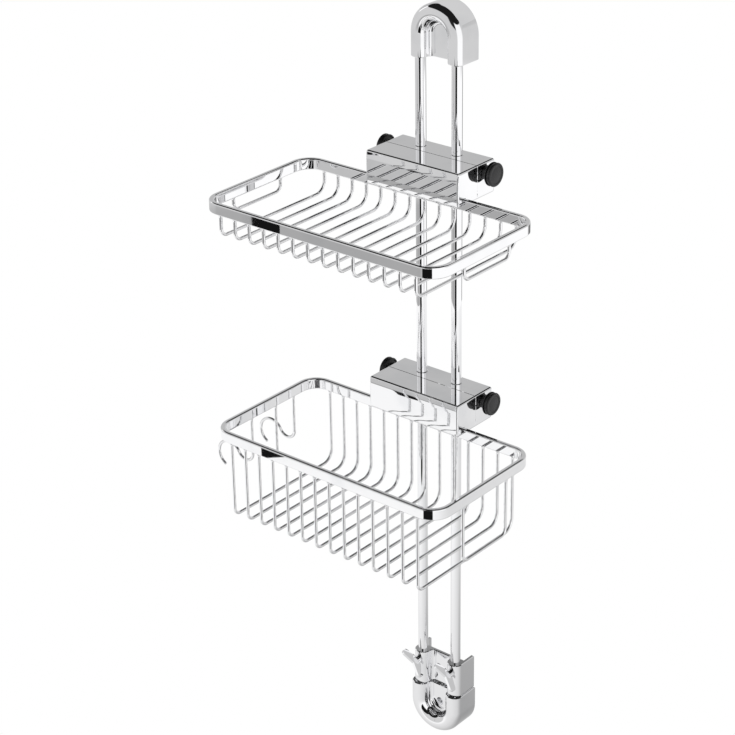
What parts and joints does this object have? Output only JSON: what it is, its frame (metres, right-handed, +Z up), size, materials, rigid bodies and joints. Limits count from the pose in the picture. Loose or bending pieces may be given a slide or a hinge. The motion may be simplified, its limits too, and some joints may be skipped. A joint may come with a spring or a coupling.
{
  "type": "shower caddy",
  "caption": "Wall-hung shower caddy: wire baskets slide on a pair of rods and lock with side knobs, between an arched top bracket and a clamped lower bracket; hooks at one side.",
  "frame": {"origin": "centre of the upper wall hole, on the wall plane", "axes": "+Z up, +X to the right of someone facing the wall, +Y into the wall"},
  "size_m": [0.3085, 0.1936, 0.761],
  "materials": {
    "rod_chrome": "polished",
    "bracket_chrome": "polished",
    "slider_chrome": "polished",
    "rim_chrome": "polished",
    "wire_chrome": "polished",
    "knob_black": "satin",
    "screw_steel": "satin",
    "pad_nylon": "matte"
  },
  "bodies": {
    "frame": {"rod_left": "rod_chrome", "rod_right": "rod_chrome", "top_bracket_cover": "bracket_chrome", "top_wall_plate": "bracket_chrome", "lower_bracket_body": "bracket_chrome", "lower_bracket_clamp": "bracket_chrome"},
    "upper_basket": {"upper_slider_block": "slider_chrome", "upper_front_cover": "slider_chrome", "upper_pressure_pads": "pad_nylon", "upper_basket_screws": "screw_steel", "upper_basket_rim": "rim_chrome", "upper_basket_wire_01": "wire_chrome", "upper_basket_wire_02": "wire_chrome", "upper_basket_wire_03": "wire_chrome", "upper_basket_wire_04": "wire_chrome", "upper_basket_wire_05": "wire_chrome", "upper_basket_wire_06": "wire_chrome", "upper_basket_wire_07": "wire_chrome", "upper_basket_wire_08": "wire_chrome", "upper_basket_wire_09": "wire_chrome", "upper_basket_wire_10": "wire_chrome", "upper_basket_wire_11": "wire_chrome", "upper_basket_wire_12": "wire_chrome", "upper_basket_wire_13": "wire_chrome", "upper_basket_wire_14": "wire_chrome", "upper_side_loop_left": "wire_chrome", "upper_side_loop_right": "wire_chrome"},
    "lower_basket": {"lower_slider_block": "slider_chrome", "lower_front_cover": "slider_chrome", "lower_pressure_pads": "pad_nylon", "lower_basket_screws": "screw_steel", "lower_basket_rim": "rim_chrome", "lower_basket_wire_01": "wire_chrome", "lower_basket_wire_02": "wire_chrome", "lower_basket_wire_03": "wire_chrome", "lower_basket_wire_04": "wire_chrome", "lower_basket_wire_05": "wire_chrome", "lower_basket_wire_06": "wire_chrome", "lower_basket_wire_07": "wire_chrome", "lower_basket_wire_08": "wire_chrome", "lower_basket_wire_09": "wire_chrome", "lower_basket_wire_10": "wire_chrome", "lower_basket_wire_11": "wire_chrome", "lower_basket_wire_12": "wire_chrome", "lower_basket_wire_13": "wire_chrome", "lower_basket_wire_14": "wire_chrome", "lower_side_loop_right": "wire_chrome", "lower_hook_front": "wire_chrome", "lower_hook_back": "wire_chrome", "lower_dropper_wire": "wire_chrome"},
    "upper_knob_left_turning": {"upper_knob_left": "knob_black", "upper_spindle_left": "screw_steel"},
    "upper_knob_right_turning": {"upper_knob_right": "knob_black", "upper_spindle_right": "screw_steel"},
    "lower_knob_left_turning": {"lower_knob_left": "knob_black", "lower_spindle_left": "screw_steel"},
    "lower_knob_right_turning": {"lower_knob_right": "knob_black", "lower_spindle_right": "screw_steel"},
    "wing_screw_left_turning": {"wing_screw_left": "bracket_chrome"},
    "wing_screw_right_turning": {"wing_screw_right": "bracket_chrome"}
  },
  "joints": [
    {"name": "upper_basket_slide", "type": "slide", "parent": "frame", "child": "upper_basket", "axis": [0, 0, 1], "range_m": [-0.075, 0.08]},
    {"name": "lower_basket_slide", "type": "slide", "parent": "frame", "child": "lower_basket", "axis": [0, 0, 1], "range_m": [-0.26, 0.085]},
    {"name": "upper_knob_left_turn", "type": "hinge", "parent": "upper_basket", "child": "upper_knob_left_turning", "pos_m": [-0.0525, -0.02, -0.1161], "axis": [-1, 0, 0], "range_deg": [0, 360]},
    {"name": "upper_knob_right_turn", "type": "hinge", "parent": "upper_basket", "child": "upper_knob_right_turning", "pos_m": [0.0525, -0.02, -0.1161], "axis": [1, 0, 0], "range_deg": [0, 360]},
    {"name": "lower_knob_left_turn", "type": "hinge", "parent": "lower_basket", "child": "lower_knob_left_turning", "pos_m": [-0.0525, -0.02, -0.3428], "axis": [-1, 0, 0], "range_deg": [0, 360]},
    {"name": "lower_knob_right_turn", "type": "hinge", "parent": "lower_basket", "child": "lower_knob_right_turning", "pos_m": [0.0525, -0.02, -0.3428], "axis": [1, 0, 0], "range_deg": [0, 360]},
    {"name": "wing_screw_left_turn", "type": "hinge", "parent": "frame", "child": "wing_screw_left_turning", "pos_m": [-0.0205, -0.0282, -0.655], "axis": [0, -1, 0], "range_deg": [0, 360]},
    {"name": "wing_screw_right_turn", "type": "hinge", "parent": "frame", "child": "wing_screw_right_turning", "pos_m": [0.0205, -0.0282, -0.655], "axis": [0, -1, 0], "range_deg": [0, 360]}
  ]
}
